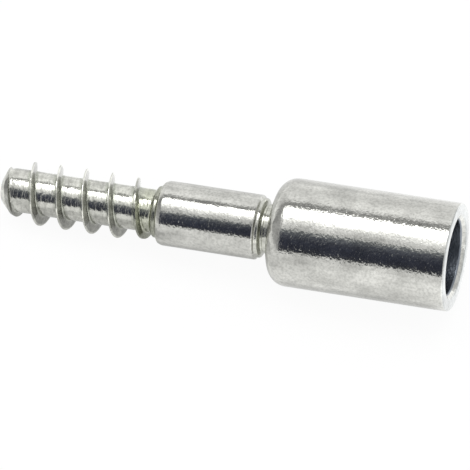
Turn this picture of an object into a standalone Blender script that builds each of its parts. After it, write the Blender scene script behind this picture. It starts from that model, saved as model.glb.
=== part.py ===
"""One-piece steel collar screw, lying on its side as it comes to rest.

From the tip: a coarse right-hand thread on a chamfered point, a smooth shank, a short neck and a
wide round-shouldered collar with a blind bore open at its far end. It is turned along its own Z,
tip at zero, then laid along X with the tip and the edge of the shoulder on the floor.
"""

import math

import bmesh
import bpy
from mathutils import Matrix

# Driving sizes, in metres. Lengths run along the screw's axis.
TIP_FLAT_D = 0.0023
TIP_CHAMFER_L = 0.00085

THREAD_D = 0.0059
CORE_D = 0.0040
PITCH = 0.00248
CREST_W = 0.00016
FLANK_FOOT_W = 0.0012
FLANK_KNEE_W = 0.00042
FLANK_KNEE_H = 0.00028
THREADED_L = 0.0151
LEAD_IN_START = 0.0001
LEAD_IN_L = 0.0030
LEAD_IN_EDGE_L = 0.0004
LEAD_IN_EDGE_D = 0.0039
RUN_OUT_L = 0.0033
RUN_OUT_D = 0.0050
FIRST_CREST_BELOW_Z = 0.00180
LAND_D = 0.0048
LAND_L = 0.00035
LAND_SLOPE_L = 0.00015

SHANK_D = 0.0060
SHANK_L = 0.0100
SHANK_EDGE_L = 0.00058
SHANK_EDGE_DROP = 0.00055

NECK_D = 0.0046
NECK_L = 0.00090
NECK_FILLET_R = 0.00018

COLLAR_D = 0.0100
COLLAR_L = 0.01705
SHOULDER_R = 0.0017
RIM_EDGE_R = 0.00015

BORE_D = 0.0070
BORE_DEPTH = 0.0120
BORE_FLOOR_ANGLE = math.radians(118.0)
MOUTH_CHAMFER_D = 0.0079
MOUTH_CHAMFER_L = 0.00045

# Facets of a full turn, and of a quarter-round.
TURN_STEPS = 40
ARC_STEPS = 7
SMALL_ARC_STEPS = 3
SHARP_ANGLE = math.radians(32.0)

# How far a joined shape reaches past the surface it is joined to, how far the ridge's foot and
# its root lie inside the core, and the turn that keeps the ridge's facets off the blank's edges.
OVERRUN = 0.0003
FOOT_SINK = 0.00006
ROOT_SINK = 0.0010
RIDGE_START_ANGLE = 0.4 * math.tau / TURN_STEPS

# Places along the axis that follow from the sizes.
SHANK_Z = THREADED_L
NECK_Z = SHANK_Z + SHANK_L
COLLAR_Z = NECK_Z + NECK_L
MOUTH_Z = COLLAR_Z + COLLAR_L
BORE_FLOOR_Z = MOUTH_Z - BORE_DEPTH
SHOULDER_END_Z = COLLAR_Z + SHOULDER_R

# The first full-height crest that comes underneath the screw, which rests on it.
FULL_THREAD_Z = LEAD_IN_START + LEAD_IN_L
TURNS_TO_FLOOR = math.ceil((FULL_THREAD_Z + CREST_W / 2 - FIRST_CREST_BELOW_Z) / PITCH)
FLOOR_CREST_Z = FIRST_CREST_BELOW_Z + TURNS_TO_FLOOR * PITCH


def arc(center_r, center_z, radius, start, end, steps):
    """Points (r, z) of a round from one angle to another, angles in degrees from +r towards +z."""
    points = []
    for i in range(steps + 1):
        angle = math.radians(start + (end - start) * i / steps)
        points.append((center_r + radius * math.cos(angle), center_z + radius * math.sin(angle)))
    return points


def rounded_edge(face_z, direction):
    """Rounded shank end, from the full diameter out to its end face, as an elliptic quarter."""
    points = []
    for i in range(SMALL_ARC_STEPS + 1):
        angle = math.radians(90.0 * i / SMALL_ARC_STEPS)
        r = SHANK_D / 2 - SHANK_EDGE_DROP * (1.0 - math.cos(angle))
        z = face_z - direction * SHANK_EDGE_L * (1.0 - math.sin(angle))
        points.append((r, z))
    return points


def bore_profile():
    """Half section of the bore, from the middle of its floor up to the chamfered mouth."""
    cone_height = BORE_D / 2 / math.tan(BORE_FLOOR_ANGLE / 2)
    return [
        (0.0, BORE_FLOOR_Z),
        (BORE_D / 2, BORE_FLOOR_Z + cone_height),
        (BORE_D / 2, MOUTH_Z - MOUTH_CHAMFER_L),
        (MOUTH_CHAMFER_D / 2, MOUTH_Z),
    ]


def collar_profile():
    """Half section of the collar's outside, from the rim down to the neck."""
    collar_r = COLLAR_D / 2
    neck_r = NECK_D / 2
    rim = arc(collar_r - RIM_EDGE_R, MOUTH_Z - RIM_EDGE_R, RIM_EDGE_R, 90, 0, SMALL_ARC_STEPS)
    shoulder = arc(collar_r - SHOULDER_R, SHOULDER_END_Z, SHOULDER_R, 0, -90, ARC_STEPS)
    fillet = arc(neck_r + NECK_FILLET_R, COLLAR_Z - NECK_FILLET_R, NECK_FILLET_R, 90, 180,
                 SMALL_ARC_STEPS)
    return rim + shoulder + fillet


def shank_profile():
    """Half section of the neck's lower end and the shank with its two rounded ends."""
    upper = rounded_edge(NECK_Z, 1)
    lower = rounded_edge(SHANK_Z, -1)
    return [(NECK_D / 2, NECK_Z)] + upper[::-1] + lower


def core_profile():
    """Half section of the low land before the shank, the thread's core and its chamfered tip."""
    return [
        (LAND_D / 2, SHANK_Z),
        (LAND_D / 2, SHANK_Z - LAND_L),
        (CORE_D / 2, SHANK_Z - LAND_L - LAND_SLOPE_L),
        (CORE_D / 2, TIP_CHAMFER_L),
        (TIP_FLAT_D / 2, 0.0),
        (0.0, 0.0),
    ]


def thread_envelope_profile():
    """Half section that the ridge is trimmed to: it rises from the tip and dies at the shank."""
    run_out_slope = (THREAD_D - RUN_OUT_D) / 2 / RUN_OUT_L
    return [
        (0.0, SHANK_Z + OVERRUN),
        (RUN_OUT_D / 2 - run_out_slope * OVERRUN, SHANK_Z + OVERRUN),
        (THREAD_D / 2, SHANK_Z - RUN_OUT_L),
        (THREAD_D / 2, FULL_THREAD_Z),
        (LEAD_IN_EDGE_D / 2, LEAD_IN_START + LEAD_IN_EDGE_L),
        (TIP_FLAT_D / 2, LEAD_IN_START),
        (0.0, LEAD_IN_START),
    ]


def ridge_profile():
    """Closed section (r, z) of the thread ridge, from inside the core to past its crest."""
    core_r = CORE_D / 2
    crest_r = THREAD_D / 2
    foot_slope = (FLANK_FOOT_W - FLANK_KNEE_W) / 2 / FLANK_KNEE_H
    foot_half = FLANK_FOOT_W / 2 + foot_slope * FOOT_SINK
    upper_flank = [
        (core_r - ROOT_SINK, foot_half),
        (core_r - FOOT_SINK, foot_half),
        (core_r + FLANK_KNEE_H, FLANK_KNEE_W / 2),
        (crest_r, CREST_W / 2),
        (crest_r + OVERRUN, CREST_W / 2),
    ]
    lower_flank = [(r, -z) for r, z in reversed(upper_flank)]
    return upper_flank + lower_flank


def profile_mesh(name, points, closed):
    """Mesh of a line in the XZ plane through the given (r, z) points."""
    mesh = bpy.data.meshes.new(name)
    bm = bmesh.new()
    verts = [bm.verts.new((r, 0.0, z)) for r, z in points]
    for first, second in zip(verts, verts[1:]):
        bm.edges.new((first, second))
    if closed:
        bm.edges.new((verts[-1], verts[0]))
    bm.to_mesh(mesh)
    bm.free()
    return mesh


def add_object(name, mesh, collection):
    obj = bpy.data.objects.new(name, mesh)
    collection.objects.link(obj)
    return obj


def turn(obj):
    """Revolve an open profile that starts and ends on the axis."""
    screw = obj.modifiers.new("turn", "SCREW")
    screw.axis = "Z"
    screw.steps = TURN_STEPS
    screw.render_steps = TURN_STEPS
    screw.use_merge_vertices = True
    screw.merge_threshold = 0.000001


def sweep_helix(obj, turns):
    """Sweep a closed profile along a right-hand helix."""
    screw = obj.modifiers.new("helix", "SCREW")
    screw.axis = "Z"
    screw.steps = TURN_STEPS
    screw.render_steps = TURN_STEPS
    screw.screw_offset = PITCH
    screw.iterations = turns


def combine(obj, other, operation):
    boolean = obj.modifiers.new(operation.lower(), "BOOLEAN")
    boolean.operation = operation
    boolean.solver = "EXACT"
    boolean.object = other


def as_cutter(obj):
    obj.hide_render = True
    obj.display_type = "WIRE"


def evaluated_mesh(obj):
    depsgraph = bpy.context.evaluated_depsgraph_get()
    return bpy.data.meshes.new_from_object(obj.evaluated_get(depsgraph))


def close_ends(mesh):
    """Cap the two open ends of a swept tube and face the whole of it outwards."""
    bm = bmesh.new()
    bm.from_mesh(mesh)
    bmesh.ops.holes_fill(bm, edges=bm.edges, sides=0)
    bmesh.ops.recalc_face_normals(bm, faces=bm.faces)
    bm.to_mesh(mesh)
    bm.free()


def make_thread(cutters):
    """Helical ridge, swept from before the tip to past the thread's end and trimmed."""
    first_z = FIRST_CREST_BELOW_Z - math.ceil(FIRST_CREST_BELOW_Z / PITCH) * PITCH
    start_z = first_z + PITCH * RIDGE_START_ANGLE / math.tau
    turns = math.ceil((SHANK_Z + PITCH - start_z) / PITCH)
    section = [(r, z + start_z) for r, z in ridge_profile()]
    sweep = add_object("thread_sweep", profile_mesh("thread_sweep", section, True), cutters)
    sweep_helix(sweep, turns)
    ridge_mesh = evaluated_mesh(sweep)
    ridge_mesh.transform(Matrix.Rotation(RIDGE_START_ANGLE, 4, "Z"))
    bpy.data.objects.remove(sweep, do_unlink=True)
    close_ends(ridge_mesh)

    envelope_mesh = profile_mesh("thread_envelope", thread_envelope_profile(), False)
    envelope = add_object("thread_envelope", envelope_mesh, cutters)
    turn(envelope)
    as_cutter(envelope)

    ridge = add_object("thread_ridge", ridge_mesh, cutters)
    combine(ridge, envelope, "INTERSECT")
    as_cutter(ridge)
    return ridge


def make_material():
    """Bright zinc plate."""
    material = bpy.data.materials.new("zinc_plated_steel")
    material.use_nodes = True
    shader = material.node_tree.nodes["Principled BSDF"]
    shader.inputs["Base Color"].default_value = (0.62, 0.63, 0.60, 1.0)
    shader.inputs["Metallic"].default_value = 1.0
    shader.inputs["Roughness"].default_value = 0.22
    return material


def make_screw(collection, cutters):
    """The whole screw as one solid about its own Z axis."""
    profile = bore_profile() + collar_profile() + shank_profile() + core_profile()
    blank = add_object("collar_screw_blank", profile_mesh("blank", profile, False), cutters)
    turn(blank)
    combine(blank, make_thread(cutters), "UNION")
    mesh = evaluated_mesh(blank)
    bpy.data.objects.remove(blank, do_unlink=True)
    mesh.name = "collar_screw"
    mesh.materials.clear()
    mesh.materials.append(make_material())
    mesh.shade_smooth()
    mesh.set_sharp_from_angle(angle=SHARP_ANGLE)
    return add_object("collar_screw", mesh, collection)


def lay_down(obj):
    """Lay the screw along X on the crest near its tip and the end of its shoulder."""
    rise = (COLLAR_D - THREAD_D) / 2
    run = SHOULDER_END_Z - (FLOOR_CREST_Z - CREST_W / 2)
    tilt = math.atan2(rise, run)
    obj.rotation_euler = (0.0, math.pi / 2 - tilt, 0.0)
    turned = obj.rotation_euler.to_matrix()
    points = [turned @ vert.co for vert in obj.data.vertices]
    low = [min(point[axis] for point in points) for axis in range(3)]
    high = [max(point[axis] for point in points) for axis in range(3)]
    obj.location = (-(low[0] + high[0]) / 2, -(low[1] + high[1]) / 2, -low[2])


def main():
    for obj in list(bpy.data.objects):
        bpy.data.objects.remove(obj, do_unlink=True)
    collection = bpy.data.collections.new("collar_screw")
    cutters = bpy.data.collections.new("cutters")
    for child in (collection, cutters):
        bpy.context.scene.collection.children.link(child)
    screw = make_screw(collection, cutters)
    lay_down(screw)


main()
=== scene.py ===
"""Looks of the collar screw: a turned and threaded steel piece in bright zinc plate.

It lies on a pale floor under a soft overhead light, seen from above as in the photograph.
Lengths are in metres. Places along the screw's own axis are measured from its tip.
"""

import math

import bmesh
import bpy
from mathutils import Matrix, Vector


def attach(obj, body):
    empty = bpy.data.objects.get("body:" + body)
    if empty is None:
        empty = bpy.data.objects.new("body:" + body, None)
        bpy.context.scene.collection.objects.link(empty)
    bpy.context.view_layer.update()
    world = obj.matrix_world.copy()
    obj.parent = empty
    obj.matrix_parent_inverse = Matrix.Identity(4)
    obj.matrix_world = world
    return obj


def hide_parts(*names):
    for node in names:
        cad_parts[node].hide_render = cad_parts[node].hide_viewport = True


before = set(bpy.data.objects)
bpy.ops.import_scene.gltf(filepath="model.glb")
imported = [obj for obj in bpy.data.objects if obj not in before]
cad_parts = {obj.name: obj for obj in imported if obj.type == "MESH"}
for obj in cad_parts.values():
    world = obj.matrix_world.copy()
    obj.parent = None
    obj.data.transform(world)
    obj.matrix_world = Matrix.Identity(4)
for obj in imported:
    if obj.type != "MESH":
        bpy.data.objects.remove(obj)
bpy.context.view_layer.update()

# Sizes of the screw, as in the solid. Only the lead-in's edge and the rim's round are a little
# larger, the first for the look of the tip and the second to stay inside the solid's box.
TIP_FLAT_R = 0.00115
TIP_CHAMFER_L = 0.00085
CORE_R = 0.0020
THREAD_R = 0.00295
PITCH = 0.00248
FIRST_CREST_BELOW_Z = 0.00180
LEAD_IN_START = 0.0001
LEAD_IN_EDGE_Z = 0.0005
LEAD_IN_EDGE_R = 0.00208
FULL_THREAD_Z = 0.0031
RUN_OUT_Z = 0.0118
RUN_OUT_R = 0.0025
LAND_Z = 0.01475
LAND_R = 0.0024
SHANK_Z = 0.0151
SHANK_R = 0.0030
NECK_Z = 0.0251
NECK_R = 0.0023
COLLAR_Z = 0.0260
COLLAR_R = 0.0050
SHOULDER_R = 0.0017
MOUTH_Z = 0.04305
RIM_EDGE_R = 0.000152
MOUTH_CHAMFER_R = 0.00395
MOUTH_CHAMFER_L = 0.00045
BORE_R = 0.0035
BORE_DEPTH = 0.0120
BORE_FLOOR_HALF_ANGLE = math.radians(59.0)
BORE_FLOOR_Z = MOUTH_Z - BORE_DEPTH
SHOULDER_END_Z = COLLAR_Z + SHOULDER_R

# The ridge's section, narrower and steeper than the solid's: half its crest's width, the taper of
# its flanks and the flare at its foot.
CREST_HALF_W = 0.00006
CREST_ROUND_H = 0.00003
CREST_TOP_SHARE = 0.55
FLANK_TAPER_W = 0.00012
FOOT_FLARE_W = 0.00014
FOOT_FLARE_H = 0.0001
FLANK_STEPS = 10
FLANK_CROWDING = 1.6

# The shank's ends, as points that lie so far inside its radius and so far from its end, and the
# slope from the land to the core, as points so far outside the core and so far from the land.
SHANK_START = [(0.0, 0.00058), (0.00012, 0.00022), (0.00055, 0.00002)]
SHANK_END = [(0.00054, 0.00002), (0.00025, 0.00013), (0.00021, 0.00044), (0.00005, 0.00056),
             (0.0, 0.00066)]
LAND_SLOPE = [(0.00008, 0.00012), (0.0, 0.00022)]
TIP_DOME_H = 0.00003

# The fine groove in the neck.
GROOVE_Z = NECK_Z + 0.00020
GROOVE_HALF_L = 0.00004
GROOVE_DEPTH = 0.00003

# How far the corners of each part are cut back to round them.
BORE_EDGE = 0.00006
NECK_EDGE = 0.0001
SHANK_EDGE = 0.00012
TIP_EDGE = 0.0002
ENVELOPE_EDGE = 0.00015

# Extra rings this far inside the ends of a plain cylinder keep its smooth shading straight.
SHANK_RING_L = 0.0015
CORE_RING_L = 0.001
RIM_RING_L = 0.0001
SHOULDER_RINGS_L = (0.00025, 0.0001)

# Facets, and how far a joined shape reaches past or into the one that it is joined to.
TURN_STEPS = 160
SHOULDER_STEPS = 24
RIM_STEPS = 5
CORNER_STEPS = 3
SHARP_ANGLE = math.radians(28.0)
MERGE_DISTANCE = 0.000001
OVERRUN = 0.0003
FOOT_SINK = 0.00006
ROOT_SINK = 0.0010
RIDGE_START_ANGLE = 0.4 * math.tau / TURN_STEPS

# How the screw lies: on the edge of its first full crest underneath, and on its shoulder's end.
CONTACT_Z = 0.0042
TILT = math.atan2(COLLAR_R - THREAD_R, SHOULDER_END_Z - CONTACT_Z)
LIE_DOWN = math.pi / 2 - TILT
TIP_PLACE = Vector((-0.0216044, 0.0, 0.0025739))

# The camera, from the fit of the solid's edges to the photograph.
CAMERA_TARGET = Vector((0.000697, -0.000804, 0.003859))
CAMERA_ELEVATION = math.radians(52.602)
CAMERA_TURN = math.radians(14.731)
CAMERA_DISTANCE = 0.7143
CAMERA_LENS = 597.3

# Colours and tones of the plating, some of them painted shade and painted highlight, as said at
# each. Stops named ALONG lie at distances from the tip, those named ACROSS at distances from the
# screw's axis.
WHITE = (1.0, 1.0, 1.0)
ZINC_DARK = (0.56, 0.56, 0.528)
ZINC_LIGHT = (0.80, 0.80, 0.757)
YELLOWED = (0.90, 0.93, 0.79)
YELLOWED_ALONG = [
    (0.0, 0.12), (0.0128, 0.2), (0.0138, 0.85), (0.0150, 0.75), (0.0156, 0.0),
    (0.0245, 0.0), (0.0250, 0.40), (0.0261, 0.20), (0.0270, 0.0),
]
UNTHREADED_TONE = (0.86, 0.86, 0.86)
THREADED_ALONG = [(SHANK_Z - 0.0002, 1.0), (SHANK_Z + 0.0002, 0.0)]
# Painted shade and painted highlight across the thread: the flanks darker and the crests brighter
# than the core.
THREAD_SHADE_AND_HIGHLIGHT_ACROSS = [(0.002025, 1.0), (0.002125, 0.63), (0.00275, 0.63), (0.00286, 1.20)]
# Painted highlight: the tip's chamfer brighter than the thread beyond it.
TIP_HIGHLIGHT_ALONG = [(0.00085, 1.0), (0.0011, 0.77)]
TIP_HIGHLIGHT_TONE = (1.30, 1.30, 1.30)
RIM_ALONG = [(MOUTH_Z - 0.00012, 0.0), (MOUTH_Z - 0.00004, 1.0)]
RIM_TINT = (0.88, 0.91, 0.96)
BORE_ALONG = [(0.0305, 0.0), (0.0306, 1.0)]
BORE_ACROSS = [(0.003575, 1.0), (0.003625, 0.0)]
# Painted shade: the dark colour of the bore's walls stands in for the shade inside it.
BORE_SHADE_COLOR = (0.20, 0.22, 0.25)
BRIGHTEST = (0.95, 0.95, 0.95)

# The edges of the valleys, whose distance from the ridge's middle is in shares of a pitch. There
# the core gets painted shade, a darker tone at the ridge's foot, and is rougher.
VALLEY_EDGE_STOPS = [(0.15, 1.0), (0.24, 0.0)]
VALLEY_ALONG = [(0.0012, 0.0), (0.0020, 1.0), (0.0130, 1.0), (0.0140, 0.0)]
VALLEY_ACROSS = [(0.002025, 1.0), (0.002125, 0.0)]
VALLEY_EDGE_SHADE_TONE = (0.74, 0.76, 0.72)

# Roughness, and what some parts add to it.
SMOOTHEST, ROUGHEST = 0.07, 0.11
FLANK_ROUGHER_ACROSS = [(0.002025, 0.03), (0.00215, 0.09), (0.0027, 0.09), (0.002825, 0.06)]
PATCH_ROUGHER = 0.02
VALLEY_EDGE_ROUGHER = 0.12
BORE_ROUGHER = 0.2

# The height of the bumps, and what each pattern gives to it, with the change in the thread.
BUMP_HEIGHT, BUMP_HEIGHT_IN_THREAD = 0.000042, -0.00001
COARSE_BUMPS, COARSE_BUMPS_IN_THREAD = 0.13, 0.45
FINE_BUMPS = 0.42
SPECK_BUMPS = 0.15
WAVE_BUMPS = 0.22
RING_BUMPS = 1.3

# The studio as the metal mirrors it: tones by the angle above the floor on the camera's side, over
# the top and down behind, in degrees. Seen to the left and right the tones are other ones.
STUDIO_STRENGTH = 5.26
STUDIO_STOPS = [
    (0.0, 0.205), (4.5, 0.190), (8.0, 0.11), (11.0, (0.011, 0.0115, 0.0135)),
    (19.0, (0.0080, 0.0087, 0.0128)), (32.0, (0.0086, 0.0097, 0.0145)),
    (41.0, (0.0140, 0.0152, 0.0200)), (48.0, (0.024, 0.026, 0.031)),
    (53.0, (0.042, 0.044, 0.047)), (56.0, (0.080, 0.083, 0.084)),
    (59.0, 0.165), (64.0, 0.178), (70.0, 0.225), (76.0, 0.29), (82.0, 0.40), (88.0, 0.68),
    (93.0, 1.0), (102.0, 1.0), (107.0, 0.26), (110.0, 0.075), (116.5, 0.080), (121.0, 0.15),
    (126.0, 0.25), (134.0, 0.25), (146.0, 0.215), (158.0, 0.205), (180.0, 0.225),
]
LEFT_STOPS = [
    (0.0, 0.17), (15.0, 0.12), (60.0, 0.095), (85.0, 0.080), (100.0, 0.072), (115.0, 0.085),
    (135.0, 0.19), (180.0, 0.25),
]
RIGHT_STOPS = [(0.0, 0.19), (40.0, 0.19), (90.0, 0.17), (180.0, 0.17)]
LEFT_FROM, LEFT_FULL = 0.33, 0.56
RIGHT_FROM, RIGHT_FULL = 0.08, 0.40

# The floor, as the camera sees it and as the metal mirrors it. The mirrored tones are painted light
# and shade that change within a span round the screw: painted shadow under the thread and along the
# screw's side, painted light behind the thread, at the mouth and far behind. Their stops lie at X
# or Y, as their names say, and those of the painted contact shadow at distances in front of the
# screw's side.
FLOOR_HALF_SIZE = 3.0
FLOOR_COLOR = (0.86, 0.86, 0.86, 1.0)
FLOOR_GLOW = 3.0
FLOOR_SEEN_TONE = (0.333, 0.333, 0.333)
FLOOR_SEEN_SHARE = 0.93
FLOOR_MIRRORED_SHARE = 0.65
FLOOR_SPAN = 0.05
FLOOR_X_LIGHT_AND_SHADE_STOPS = [(-0.025, 0.40), (0.0, 0.38), (0.004, 0.50), (0.0195, 0.50), (0.0215, 0.82)]
FLOOR_Y_LIGHT_AND_SHADE_STOPS = [(-0.0005, 0.80), (0.0015, 0.88), (0.005, 0.86), (0.0085, 0.76), (0.020, 1.0)]
THREAD_X_STOPS = [(-0.0205, 0.0), (-0.0185, 1.0), (-0.0085, 1.0), (-0.006, 0.0)]
UNDER_THREAD_Y_STOPS = [(-0.016, 0.0), (-0.012, 1.0), (0.0, 1.0), (0.003, 0.0)]
UNDER_THREAD_SHADE_Y_TONES = [(-0.005, 0.20), (-0.002, 0.42)]
BEHIND_THREAD_Y_STOPS = [(0.0045, 0.0), (0.006, 1.0), (0.009, 1.0), (0.012, 0.0)]
BEHIND_THREAD_LIGHT_TONE = (0.72, 0.72, 0.72)
HALF_BODY_X_STOPS = [(0.003, SHANK_R / FLOOR_SPAN), (0.006, COLLAR_R / FLOOR_SPAN)]
# Painted contact shadow on the mirrored floor.
CONTACT_SHADOW_STOPS = [(0.0, 0.75), (0.0011, 1.0)]

# The lamp, whose light falls straight down.
LAMP_SIZE = (0.5, 0.3)
LAMP_ENERGY = 0.9
LAMP_PLACE = (0.0, 0.05, 0.45)


def arc(center_r, center_z, radius, start, end, steps):
    """Points (r, z) of a round, angles in degrees from +r towards +z."""
    points = []
    for i in range(steps + 1):
        angle = math.radians(start + (end - start) * i / steps)
        points.append((center_r + radius * math.cos(angle), center_z + radius * math.sin(angle)))
    return points


def rounded(points, cut):
    """The same line of (r, z) points, its corners cut back by a length and rounded."""
    result = [points[0]]
    for before, corner, after in zip(points, points[1:], points[2:]):
        a, c, b = (Vector(p) for p in (before, corner, after))
        back = min(cut, (a - c).length * 0.45, (b - c).length * 0.45)
        start = c + (a - c).normalized() * back
        end = c + (b - c).normalized() * back
        for i in range(CORNER_STEPS + 1):
            t = i / CORNER_STEPS
            p = start * (1 - t) ** 2 + c * 2 * t * (1 - t) + end * t ** 2
            result.append((p.x, p.y))
    result.append(points[-1])
    return result


def bore_profile():
    """The bore from its floor out to the rim, and the round of the rim's outer edge."""
    cone = BORE_R / math.tan(BORE_FLOOR_HALF_ANGLE)
    bore = rounded([
        (0.0, BORE_FLOOR_Z),
        (BORE_R, BORE_FLOOR_Z + cone),
        (BORE_R, MOUTH_Z - MOUTH_CHAMFER_L),
        (MOUTH_CHAMFER_R, MOUTH_Z),
        (COLLAR_R - RIM_EDGE_R, MOUTH_Z),
    ], BORE_EDGE)
    rim = arc(COLLAR_R - RIM_EDGE_R, MOUTH_Z - RIM_EDGE_R, RIM_EDGE_R, 90, 0, RIM_STEPS)
    return bore + rim[1:]


def collar_profile():
    """The collar's outside and its shoulder."""
    collar = [(COLLAR_R, MOUTH_Z - RIM_EDGE_R - RIM_RING_L)]
    collar += [(COLLAR_R, SHOULDER_END_Z + ring) for ring in SHOULDER_RINGS_L]
    shoulder = arc(COLLAR_R - SHOULDER_R, SHOULDER_END_Z, SHOULDER_R, 0, -90, SHOULDER_STEPS)
    # The first two steps would reach below the floor, past the solid's coarser facets.
    del shoulder[1:3]
    return collar + shoulder


def neck_profile():
    """The neck with its groove, and the shank's stepped end."""
    points = [
        (COLLAR_R - SHOULDER_R, COLLAR_Z),
        (NECK_R, COLLAR_Z),
        (NECK_R, GROOVE_Z + GROOVE_HALF_L),
        (NECK_R - GROOVE_DEPTH, GROOVE_Z),
        (NECK_R, GROOVE_Z - GROOVE_HALF_L),
        (NECK_R, NECK_Z),
    ]
    points += [(SHANK_R - inside, NECK_Z - back) for inside, back in SHANK_END]
    points.append((SHANK_R, NECK_Z - SHANK_RING_L))
    return rounded(points, NECK_EDGE)[1:]


def shank_profile():
    """The shank's start and the land, down to the core."""
    points = [(SHANK_R, SHANK_Z + SHANK_RING_L)]
    points += [(SHANK_R - inside, SHANK_Z + back) for inside, back in SHANK_START]
    points += [(LAND_R, SHANK_Z), (LAND_R, LAND_Z)]
    points += [(CORE_R + outside, LAND_Z - down) for outside, down in LAND_SLOPE]
    points.append((CORE_R, LAND_Z - CORE_RING_L))
    return rounded(points, SHANK_EDGE)


def tip_profile():
    """The core's end and the chamfered tip."""
    return rounded([
        (CORE_R, TIP_CHAMFER_L + CORE_RING_L),
        (CORE_R, TIP_CHAMFER_L),
        (TIP_FLAT_R, TIP_DOME_H),
        (0.0, 0.0),
    ], TIP_EDGE)


def blank_profile():
    """Half section of the whole screw but its thread, from the bore's floor round to the tip."""
    return bore_profile() + collar_profile() + neck_profile() + shank_profile() + tip_profile()


def envelope_profile():
    """Half section that the ridge is trimmed to, rising from the tip and dying at the shank."""
    slope = (THREAD_R - RUN_OUT_R) / (SHANK_Z - RUN_OUT_Z)
    outside = rounded([
        (RUN_OUT_R - slope * OVERRUN, SHANK_Z + OVERRUN),
        (THREAD_R, RUN_OUT_Z),
        (THREAD_R, FULL_THREAD_Z),
        (LEAD_IN_EDGE_R, LEAD_IN_EDGE_Z),
        (TIP_FLAT_R, LEAD_IN_START),
    ], ENVELOPE_EDGE)
    return [(0.0, SHANK_Z + OVERRUN)] + outside + [(0.0, LEAD_IN_START)]


def ridge_profile():
    """Closed section of the thread's ridge: hollow flanks and a rounded crest."""
    height = THREAD_R - CORE_R

    def half_width(h):
        flare = FOOT_FLARE_W * math.exp(-h / FOOT_FLARE_H)
        return CREST_HALF_W + FLANK_TAPER_W * (1 - h / height) + flare

    upper = [(CORE_R - ROOT_SINK, half_width(-FOOT_SINK))]
    for i in range(FLANK_STEPS + 1):
        share = (i / FLANK_STEPS) ** FLANK_CROWDING
        h = -FOOT_SINK + (height + FOOT_SINK - CREST_ROUND_H) * share
        upper.append((CORE_R + h, half_width(h)))
    crest_top = CREST_HALF_W * CREST_TOP_SHARE
    upper += [(THREAD_R, crest_top), (THREAD_R + OVERRUN, crest_top)]
    lower = [(r, -z) for r, z in reversed(upper)]
    return upper + lower


def line_mesh(name, points, closed):
    mesh = bpy.data.meshes.new(name)
    bm = bmesh.new()
    verts = [bm.verts.new((r, 0.0, z)) for r, z in points]
    for first, second in zip(verts, verts[1:]):
        bm.edges.new((first, second))
    if closed:
        bm.edges.new((verts[-1], verts[0]))
    bm.to_mesh(mesh)
    bm.free()
    return mesh


def swept(name, points, closed, offset=0.0, turns=1):
    """Mesh of a section turned about Z, straight round or along a right-hand helix."""
    obj = bpy.data.objects.new(name, line_mesh(name, points, closed))
    bpy.context.scene.collection.objects.link(obj)
    screw = obj.modifiers.new("turn", "SCREW")
    screw.axis = "Z"
    screw.steps = TURN_STEPS
    screw.render_steps = TURN_STEPS
    screw.screw_offset = offset
    screw.iterations = turns
    screw.use_merge_vertices = offset == 0.0
    screw.merge_threshold = MERGE_DISTANCE
    depsgraph = bpy.context.evaluated_depsgraph_get()
    mesh = bpy.data.meshes.new_from_object(obj.evaluated_get(depsgraph))
    bpy.data.objects.remove(obj, do_unlink=True)
    return mesh


def joined(name, first, second, operation):
    """Mesh of one closed shape combined with another."""
    objects = [bpy.data.objects.new(name, first), bpy.data.objects.new(name + "_other", second)]
    for obj in objects:
        bpy.context.scene.collection.objects.link(obj)
    boolean = objects[0].modifiers.new("join", "BOOLEAN")
    boolean.operation = operation
    boolean.solver = "EXACT"
    boolean.object = objects[1]
    depsgraph = bpy.context.evaluated_depsgraph_get()
    mesh = bpy.data.meshes.new_from_object(objects[0].evaluated_get(depsgraph))
    for obj in objects:
        bpy.data.objects.remove(obj, do_unlink=True)
    return mesh


def ridge_mesh():
    """The thread's ridge, closed at both ends and trimmed to its envelope."""
    first_z = FIRST_CREST_BELOW_Z - math.ceil(FIRST_CREST_BELOW_Z / PITCH) * PITCH
    start_z = first_z + PITCH * RIDGE_START_ANGLE / math.tau
    turns = math.ceil((SHANK_Z + PITCH - start_z) / PITCH)
    section = [(r, z + start_z) for r, z in ridge_profile()]
    mesh = swept("ridge", section, True, PITCH, turns)
    mesh.transform(Matrix.Rotation(RIDGE_START_ANGLE, 4, "Z"))
    bm = bmesh.new()
    bm.from_mesh(mesh)
    bmesh.ops.holes_fill(bm, edges=bm.edges, sides=0)
    bmesh.ops.recalc_face_normals(bm, faces=bm.faces)
    bm.to_mesh(mesh)
    bm.free()
    return joined("ridge", mesh, swept("envelope", envelope_profile(), False), "INTERSECT")


def make_screw():
    """The screw's surface, lying in its place."""
    blank = swept("blank", blank_profile(), False)
    mesh = joined("screw", blank, ridge_mesh(), "UNION")
    mesh.name = "screw_surface"
    mesh.shade_smooth()
    mesh.set_sharp_from_angle(angle=SHARP_ANGLE)
    mesh.transform(Matrix.Translation(TIP_PLACE) @ Matrix.Rotation(LIE_DOWN, 4, "Y"))
    mesh.materials.clear()
    mesh.materials.append(zinc_material())
    screw = bpy.data.objects.new("screw_surface", mesh)
    bpy.context.scene.collection.objects.link(screw)
    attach(screw, "root")
    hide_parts("collar_screw")


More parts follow.
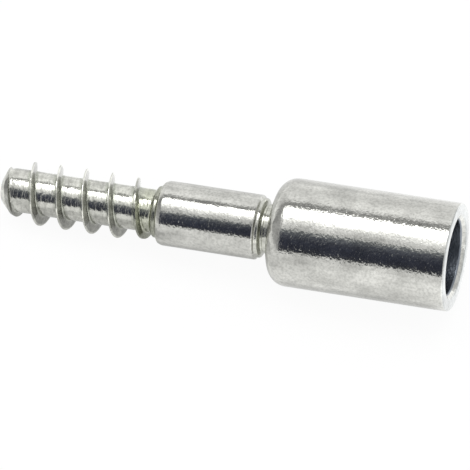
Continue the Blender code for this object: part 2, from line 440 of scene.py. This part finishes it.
class Nodes:
    """Short way to write a node tree. Values are sockets, numbers or colours."""

    def __init__(self, tree):
        self.tree = tree
        tree.nodes.clear()

    def add(self, kind, **settings):
        node = self.tree.nodes.new(kind)
        for key, value in settings.items():
            setattr(node, key, value)
        return node

    def link(self, source, target):
        self.tree.links.new(source, target)

    def fill(self, socket, value):
        if isinstance(value, (int, float)):
            socket.default_value = value
        elif isinstance(value, tuple):
            socket.default_value = (*value, 1.0)
        else:
            self.link(value, socket)

    def math(self, operation, first, second=0.0, third=0.0, clamp=False):
        node = self.add("ShaderNodeMath", operation=operation, use_clamp=clamp)
        for socket, value in zip(node.inputs, (first, second, third)):
            self.fill(socket, value)
        return node.outputs[0]

    def times(self, first, second):
        return self.math("MULTIPLY", first, second)

    def plus(self, first, second):
        return self.math("ADD", first, second)

    def ramp(self, value, stops):
        """A value turned into tones by (place, tone or colour) stops."""
        node = self.add("ShaderNodeValToRGB")
        elements = node.color_ramp.elements
        while len(elements) < len(stops):
            elements.new(1.0)
        for element, (place, color) in zip(elements, stops):
            element.position = place
            if isinstance(color, (int, float)):
                color = (color, color, color)
            element.color = (*color, 1.0)
        self.link(value, node.inputs["Fac"])
        return node.outputs["Color"]

    def noise(self, point, scale, detail=3.0, roughness=0.5):
        node = self.add("ShaderNodeTexNoise")
        node.inputs["Scale"].default_value = scale
        node.inputs["Detail"].default_value = detail
        node.inputs["Roughness"].default_value = roughness
        self.link(point, node.inputs["Vector"])
        return node.outputs["Fac"]

    def mix(self, factor, first, second, blend="MIX"):
        node = self.add("ShaderNodeMix", data_type="RGBA", blend_type=blend)
        for index, value in ((0, factor), (6, first), (7, second)):
            self.fill(node.inputs[index], value)
        return node.outputs[2]

    def tinted(self, color, tint):
        return self.mix(1.0, color, tint, "MULTIPLY")

    def split(self, vector):
        node = self.add("ShaderNodeSeparateXYZ")
        self.link(vector, node.inputs[0])
        return node.outputs["X"], node.outputs["Y"], node.outputs["Z"]

    def coordinate(self, kind):
        return self.add("ShaderNodeTexCoord").outputs[kind]

    def mirrored(self):
        """One for the rays by which metal and glass show what is round them, else zero."""
        path = self.add("ShaderNodeLightPath")
        glossy, through = path.outputs["Is Glossy Ray"], path.outputs["Is Transmission Ray"]
        return self.math("MAXIMUM", glossy, through)

    def finish(self, kind, factor, first, second):
        """The tree's output: one shader, turned into another by a factor."""
        mix = self.add("ShaderNodeMixShader")
        for socket, value in zip(mix.inputs, (factor, first, second)):
            self.link(value, socket)
        self.link(mix.outputs[0], self.add(kind).inputs["Surface"])


class Spot:
    """Where the shaded point is on the screw, in the screw's own directions from its tip."""

    def __init__(self, n):
        self.n = n
        mapping = n.add("ShaderNodeMapping")
        back = Matrix.Rotation(-LIE_DOWN, 4, "Y")
        mapping.inputs["Rotation"].default_value = (0.0, -LIE_DOWN, 0.0)
        mapping.inputs["Location"].default_value = -(back @ TIP_PLACE)
        n.link(n.coordinate("Object"), mapping.inputs["Vector"])
        self.point = mapping.outputs["Vector"]
        x, y, z = n.split(self.point)
        square = n.plus(n.math("POWER", x, 2.0), n.math("POWER", y, 2.0))
        self.along = n.times(z, 1.0 / MOUTH_Z)
        self.outward = n.times(n.math("SQRT", square), 1.0 / COLLAR_R)
        self.threaded = self.by_length(THREADED_ALONG)
        self.bored = n.times(self.by_length(BORE_ALONG), self.by_radius(BORE_ACROSS))
        self.valley_edge = self.valley_edges(x, y, z)

    def by_length(self, stops):
        """Tones by the distance from the tip."""
        return self.n.ramp(self.along, [(z / MOUTH_Z, tone) for z, tone in stops])

    def by_radius(self, stops):
        """Tones by the distance from the screw's axis."""
        return self.n.ramp(self.outward, [(r / COLLAR_R, tone) for r, tone in stops])

    def valley_edges(self, x, y, z):
        """One on the core right beside the ridge, where painted shade darkens it, else zero."""
        n = self.n
        turns = n.times(n.math("ARCTAN2", y, x), -1.0 / math.tau)
        pitches = n.times(n.math("SUBTRACT", z, FIRST_CREST_BELOW_Z), 1.0 / PITCH)
        phase = n.math("FRACT", n.plus(n.plus(turns, pitches), 0.5))
        from_ridge = n.math("ABSOLUTE", n.math("SUBTRACT", phase, 0.5))
        beside = n.ramp(from_ridge, VALLEY_EDGE_STOPS)
        beside = n.times(beside, self.by_length(VALLEY_ALONG))
        return n.times(beside, self.by_radius(VALLEY_ACROSS))

    def stretched(self, factor):
        """The point for a pattern that is scaled along the screw."""
        mapping = self.n.add("ShaderNodeMapping")
        mapping.inputs["Scale"].default_value = (1.0, 1.0, factor)
        self.n.link(self.point, mapping.inputs["Vector"])
        return mapping.outputs["Vector"]


def plate_color(n, spot, rings):
    """Clouded zinc with streaks, fine grain and dark pits, toned by part of the screw, with painted
    shade in the bore, on the thread's flanks and beside the ridge, and painted highlight on the
    crests and the tip.
    """
    cloud = n.ramp(n.noise(spot.point, 420.0, 4.0, 0.6), [(0.3, ZINC_DARK), (0.7, ZINC_LIGHT)])
    streak = n.noise(spot.stretched(0.22), 900.0, 3.0, 0.55)
    grain = n.noise(spot.point, 4200.0, 1.0)
    pits = n.noise(spot.point, 2300.0, 1.0, 0.4)
    yellowed = n.mix(spot.by_length(YELLOWED_ALONG), WHITE, YELLOWED)
    color = n.tinted(cloud, n.ramp(streak, [(0.35, 0.86), (0.65, 1.05)]))
    color = n.tinted(color, n.ramp(grain, [(0.3, 0.79), (0.6, 1.0)]))
    color = n.tinted(color, yellowed)
    color = n.tinted(color, n.ramp(pits, [(0.17, 0.35), (0.20, 1.0)]))
    ring_tone = n.ramp(rings, [(0.36, 0.82), (0.56, 1.0)])
    color = n.tinted(color, n.mix(spot.threaded, WHITE, ring_tone))

    # Painted highlight on the tip's chamfer.
    tip_highlight = n.tinted(spot.by_length(TIP_HIGHLIGHT_ALONG), TIP_HIGHLIGHT_TONE)
    # Painted shade on the thread's flanks and painted highlight on its crests.
    thread_shade_and_highlight = n.tinted(spot.by_radius(THREAD_SHADE_AND_HIGHLIGHT_ACROSS), tip_highlight)
    tone = n.mix(spot.threaded, UNTHREADED_TONE, thread_shade_and_highlight)
    # Painted shade on the core beside the ridge's foot.
    color = n.tinted(color, n.mix(spot.valley_edge, tone, VALLEY_EDGE_SHADE_TONE))

    color = n.tinted(color, n.mix(spot.by_length(RIM_ALONG), WHITE, RIM_TINT))
    # Painted shade inside the bore.
    color = n.mix(spot.bored, color, BORE_SHADE_COLOR)
    capped = n.add("ShaderNodeVectorMath", operation="MINIMUM")
    n.link(color, capped.inputs[0])
    capped.inputs[1].default_value = BRIGHTEST
    return capped.outputs[0]


def plate_roughness(n, spot):
    """Bright plate in uneven patches, duller on the thread's flanks and in the bore."""
    plate = n.add("ShaderNodeMapRange")
    n.link(n.noise(spot.point, 1500.0, 3.0), plate.inputs["Value"])
    plate.inputs["From Min"].default_value = 0.3
    plate.inputs["From Max"].default_value = 0.7
    plate.inputs["To Min"].default_value = SMOOTHEST
    plate.inputs["To Max"].default_value = ROUGHEST
    patches = n.ramp(n.noise(spot.point, 650.0, 2.0), [(0.48, 0.0), (0.62, PATCH_ROUGHER)])
    flank = spot.by_radius(FLANK_ROUGHER_ACROSS)
    rougher = n.math("MULTIPLY_ADD", spot.threaded, flank, patches)
    rougher = n.plus(rougher, n.times(spot.bored, BORE_ROUGHER))
    rougher = n.math("MULTIPLY_ADD", spot.valley_edge, VALLEY_EDGE_ROUGHER, rougher)
    return n.plus(plate.outputs[0], rougher)


def plate_normal(n, spot, rings):
    """Pebbles, raised specks and a slow wave, with turning marks in the thread."""
    pebbled = spot.stretched(1.3)
    fine = n.times(n.noise(pebbled, 3400.0, 1.0, 0.6), FINE_BUMPS)
    specks = n.ramp(n.noise(pebbled, 4600.0, 0.0), [(0.74, 0.0), (0.86, SPECK_BUMPS)])
    weight = n.math("MULTIPLY_ADD", spot.threaded, COARSE_BUMPS_IN_THREAD, COARSE_BUMPS)
    coarse = n.times(n.noise(pebbled, 1500.0, 1.0, 0.5), weight)
    wave = n.times(n.noise(spot.point, 420.0, 1.0), WAVE_BUMPS)
    height = n.plus(n.plus(fine, specks), n.plus(coarse, wave))
    height = n.plus(height, n.times(n.times(rings, spot.threaded), RING_BUMPS))
    bump = n.add("ShaderNodeBump")
    distance = n.math("MULTIPLY_ADD", spot.threaded, BUMP_HEIGHT_IN_THREAD, BUMP_HEIGHT)
    n.link(distance, bump.inputs["Distance"])
    n.link(height, bump.inputs["Height"])
    return bump.outputs[0]


def zinc_material():
    """Bright zinc plate: pebbled, faintly clouded, marked in the thread, dull and painted dark for
    shade in the bore, with painted shade and highlights on the thread and tip.
    """
    material = bpy.data.materials.new("bright_zinc_plate")
    material.use_nodes = True
    n = Nodes(material.node_tree)
    spot = Spot(n)
    rings = n.noise(spot.stretched(3.6), 1000.0, 2.0, 0.62)
    shader = n.add("ShaderNodeBsdfPrincipled")
    shader.inputs["Metallic"].default_value = 1.0
    n.link(plate_color(n, spot, rings), shader.inputs["Base Color"])
    n.link(plate_roughness(n, spot), shader.inputs["Roughness"])
    n.link(plate_normal(n, spot, rings), shader.inputs["Normal"])
    n.link(shader.outputs[0], n.add("ShaderNodeOutputMaterial").inputs["Surface"])
    return material


def mirrored_floor_light_and_shade(n):
    """The floor's tones in the metal, painted light and shade: dim under the thread, brighter
    behind it and at the mouth.
    """
    x, y, _ = n.split(n.coordinate("Object"))
    along = n.math("MULTIPLY_ADD", x, 1.0 / FLOOR_SPAN, 0.5)
    across = n.math("MULTIPLY_ADD", y, 1.0 / FLOOR_SPAN, 0.5)

    def by(place, stops):
        return n.ramp(place, [(at / FLOOR_SPAN + 0.5, tone) for at, tone in stops])

    thread_span = by(along, THREAD_X_STOPS)
    under_thread = n.times(by(across, UNDER_THREAD_Y_STOPS), thread_span)
    behind_thread = n.times(by(across, BEHIND_THREAD_Y_STOPS), thread_span)
    # Painted shadow on the floor under and in front of the thread, and painted light at the mouth.
    tone = n.mix(under_thread, by(along, FLOOR_X_LIGHT_AND_SHADE_STOPS), by(across, UNDER_THREAD_SHADE_Y_TONES))
    # Painted light on the floor behind the thread.
    tone = n.mix(behind_thread, tone, BEHIND_THREAD_LIGHT_TONE)

    half_body = by(along, HALF_BODY_X_STOPS)
    in_front = n.math("SUBTRACT", n.math("SUBTRACT", 0.5, across), half_body)
    # Painted shadow on the mirrored floor along the screw's side, where it lies.
    contact_shadow = n.ramp(in_front, [(gap / FLOOR_SPAN, dim) for gap, dim in CONTACT_SHADOW_STOPS])
    tone = n.tinted(tone, contact_shadow)
    # Painted light and shade across the floor, brightest far behind the screw.
    return n.tinted(tone, by(across, FLOOR_Y_LIGHT_AND_SHADE_STOPS))


def make_floor():
    """A wide pale floor, white to the eye, which keeps a soft shadow under the screw and shows
    painted light and shade where the metal mirrors it.
    """
    mesh = bpy.data.meshes.new("floor")
    bm = bmesh.new()
    bmesh.ops.create_grid(bm, x_segments=1, y_segments=1, size=FLOOR_HALF_SIZE)
    bm.to_mesh(mesh)
    bm.free()
    floor = bpy.data.objects.new("floor", mesh)
    bpy.context.scene.collection.objects.link(floor)
    material = bpy.data.materials.new("pale_floor")
    material.use_nodes = True
    n = Nodes(material.node_tree)
    diffuse = n.add("ShaderNodeBsdfDiffuse")
    diffuse.inputs["Color"].default_value = FLOOR_COLOR
    mirrored = n.mirrored()
    glow = n.add("ShaderNodeEmission")
    glow.inputs["Strength"].default_value = FLOOR_GLOW
    n.link(n.mix(mirrored, FLOOR_SEEN_TONE, mirrored_floor_light_and_shade(n)), glow.inputs["Color"])
    seen = n.add("ShaderNodeLightPath").outputs["Is Camera Ray"]
    share = n.math("ADD", n.times(seen, FLOOR_SEEN_SHARE),
                   n.times(mirrored, FLOOR_MIRRORED_SHARE), clamp=True)
    n.finish("ShaderNodeOutputMaterial", share, diffuse.outputs[0], glow.outputs[0])
    mesh.materials.append(material)


def mirrored_studio(n):
    """The studio's tones in the metal: bright overhead, dim where the camera is."""
    x, y, z = n.split(n.coordinate("Generated"))
    angle = n.math("DEGREES", n.math("ARCTAN2", z, n.times(y, -1.0)))
    place = n.math("DIVIDE", angle, 180.0)

    def by_angle(stops):
        return n.ramp(place, [(degrees / 180.0, tone) for degrees, tone in stops])

    left = n.ramp(n.times(x, -1.0), [(LEFT_FROM, 0.0), (LEFT_FULL, 1.0)])
    right = n.ramp(x, [(RIGHT_FROM, 0.0), (RIGHT_FULL, 1.0)])
    tone = n.mix(left, by_angle(STUDIO_STOPS), by_angle(LEFT_STOPS))
    return n.mix(right, tone, by_angle(RIGHT_STOPS))


def make_world():
    """A pale studio: white all round to the eye, with a soft light overhead in the metal."""
    world = bpy.data.worlds.new("studio")
    bpy.context.scene.world = world
    world.use_nodes = True
    n = Nodes(world.node_tree)
    shiny = n.add("ShaderNodeBackground")
    n.link(mirrored_studio(n), shiny.inputs["Color"])
    shiny.inputs["Strength"].default_value = STUDIO_STRENGTH
    plain = n.add("ShaderNodeBackground")
    plain.inputs["Color"].default_value = (*WHITE, 1.0)
    plain.inputs["Strength"].default_value = 1.0
    n.finish("ShaderNodeOutputWorld", n.mirrored(), plain.outputs[0], shiny.outputs[0])


def make_light():
    """The overhead soft light that gives the floor its shadow."""
    light = bpy.data.lights.new("overhead", "AREA")
    light.shape = "RECTANGLE"
    light.size, light.size_y = LAMP_SIZE
    light.energy = LAMP_ENERGY
    lamp = bpy.data.objects.new("overhead", light)
    lamp.location = LAMP_PLACE
    lamp.visible_glossy = False
    bpy.context.scene.collection.objects.link(lamp)


def make_camera():
    """The camera at the photograph's angle."""
    data = bpy.data.cameras.new("camera")
    data.lens = CAMERA_LENS
    data.sensor_width = 36.0
    data.clip_start = 0.01
    data.clip_end = 20.0
    camera = bpy.data.objects.new("camera", data)
    flat = math.cos(CAMERA_ELEVATION)
    side, front = flat * math.sin(CAMERA_TURN), flat * math.cos(CAMERA_TURN)
    back = Vector((side, -front, math.sin(CAMERA_ELEVATION)))
    camera.location = CAMERA_TARGET + back * CAMERA_DISTANCE
    camera.rotation_euler = back.to_track_quat("Z", "Y").to_euler()
    bpy.context.scene.collection.objects.link(camera)
    bpy.context.scene.camera = camera


make_screw()
make_floor()
make_world()
make_light()
make_camera()
bpy.context.scene.view_settings.view_transform = "Standard"
